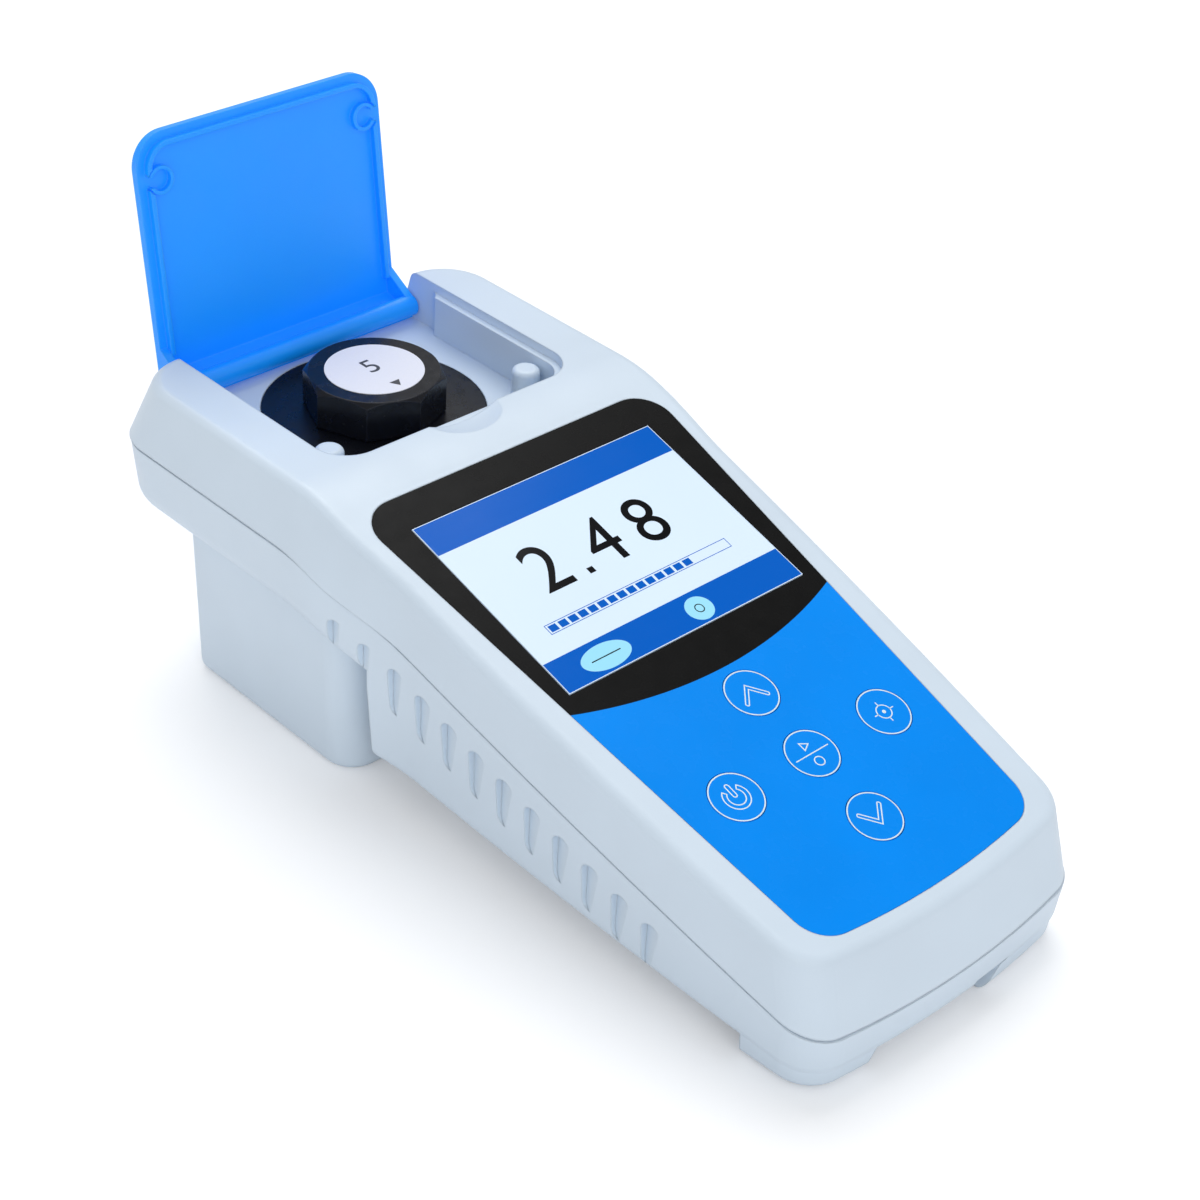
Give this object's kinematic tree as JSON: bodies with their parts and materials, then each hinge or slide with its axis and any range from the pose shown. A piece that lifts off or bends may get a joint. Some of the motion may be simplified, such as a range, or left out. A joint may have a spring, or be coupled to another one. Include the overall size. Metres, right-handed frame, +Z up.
{
  "type": "portable turbidity meter",
  "caption": "Handheld turbidity meter: hinged lid over a capped sample vial in its well, sloped face with display and round keys, deep rear block and front feet.",
  "frame": {"origin": "on the table, under the axis of the sample vial", "axes": "+Z up, +Y from the keys towards the lid's hinge, +X to the right seen from the keys"},
  "size_m": [0.0964, 0.213, 0.1108],
  "materials": {
    "shell": "satin moulded plastic",
    "lid_blue": "satin moulded plastic",
    "gasket": "matte",
    "pads": "matte",
    "film": "printed film",
    "window": "clear",
    "panel": "display",
    "keys": "satin",
    "black": "satin black",
    "inside": "matte",
    "board": "circuit board",
    "steel": "bright",
    "brass": "bright",
    "glass": "clear",
    "liquid": "slightly cloudy",
    "label": "paper",
    "cell": "wrapped"
  },
  "bodies": {
    "housing": {"top_shell": "shell", "bottom_shell": "shell", "case_gasket": "gasket", "rubber_feet": "pads", "front_film": "film", "display_window": "window", "display_panel": "panel", "display_carrier": "inside", "main_board": "board", "key_switches": "inside", "board_screws": "steel", "lid_hinge_pins": "steel", "well_collar": "black", "sample_well": "black", "light_source": "inside", "light_source_lens": "glass", "light_source_board": "board", "transmission_detector": "inside", "transmission_detector_lens": "glass", "transmission_detector_board": "board", "scatter_detector": "inside", "scatter_detector_lens": "glass", "scatter_detector_board": "board", "battery_tray": "inside", "battery_contacts": "brass", "battery_1": "cell", "battery_2": "cell", "battery_3": "cell", "battery_4": "cell", "case_screws": "steel"},
    "lid": {"lid": "lid_blue"},
    "vial": {"vial_glass": "glass", "sample_liquid": "liquid"},
    "liner": {"cap_liner": "label"},
    "cap": {"vial_cap": "black", "vial_label": "label"},
    "battery_cover": {"battery_cover": "shell", "battery_seal": "gasket"},
    "key_up": {"key_up": "keys"},
    "key_down": {"key_down": "keys"},
    "key_enter": {"key_enter": "keys"},
    "key_cal": {"key_cal": "keys"},
    "key_power": {"key_power": "keys"}
  },
  "joints": [
    {"name": "lid_hinge", "type": "hinge", "parent": "housing", "child": "lid", "pos_m": [0, 0.0258, 0.0579], "axis": [-1, 0, 0], "range_deg": [-97.5, 0]},
    {"name": "vial_lift", "type": "slide", "parent": "housing", "child": "vial", "axis": [0, 0, 1], "range_m": [0, 0.06]},
    {"name": "cap_rise", "type": "slide", "parent": "vial", "child": "liner", "axis": [0, 0, 1], "range_m": [0, 0.0045]},
    {"name": "cap_unscrew", "type": "hinge", "parent": "liner", "child": "cap", "pos_m": [0, 0, 0.0546], "axis": [0, 0, 1], "range_deg": [0, 540]},
    {"name": "key_up_press", "type": "slide", "parent": "housing", "child": "key_up", "axis": [0, 0.2756, -0.9613], "range_m": [0, 0.0004], "stiffness_N_per_m": 400},
    {"name": "key_down_press", "type": "slide", "parent": "housing", "child": "key_down", "axis": [0, 0.2756, -0.9613], "range_m": [0, 0.0004], "stiffness_N_per_m": 400},
    {"name": "key_enter_press", "type": "slide", "parent": "housing", "child": "key_enter", "axis": [0, 0.2756, -0.9613], "range_m": [0, 0.0004], "stiffness_N_per_m": 400},
    {"name": "key_cal_press", "type": "slide", "parent": "housing", "child": "key_cal", "axis": [0, 0.2756, -0.9613], "range_m": [0, 0.0004], "stiffness_N_per_m": 400},
    {"name": "key_power_press", "type": "slide", "parent": "housing", "child": "key_power", "axis": [0, 0.2756, -0.9613], "range_m": [0, 0.0004], "stiffness_N_per_m": 400},
    {"name": "battery_cover_tilt", "type": "hinge", "parent": "housing", "child": "battery_cover", "pos_m": [0, -0.07841, 0.00985], "axis": [1, 0, 0], "range_deg": [0, 60]}
  ],
  "couplings": [
    {"joint": "cap_rise", "follows": "cap_unscrew", "m_per_rad": 0.000477}
  ]
}
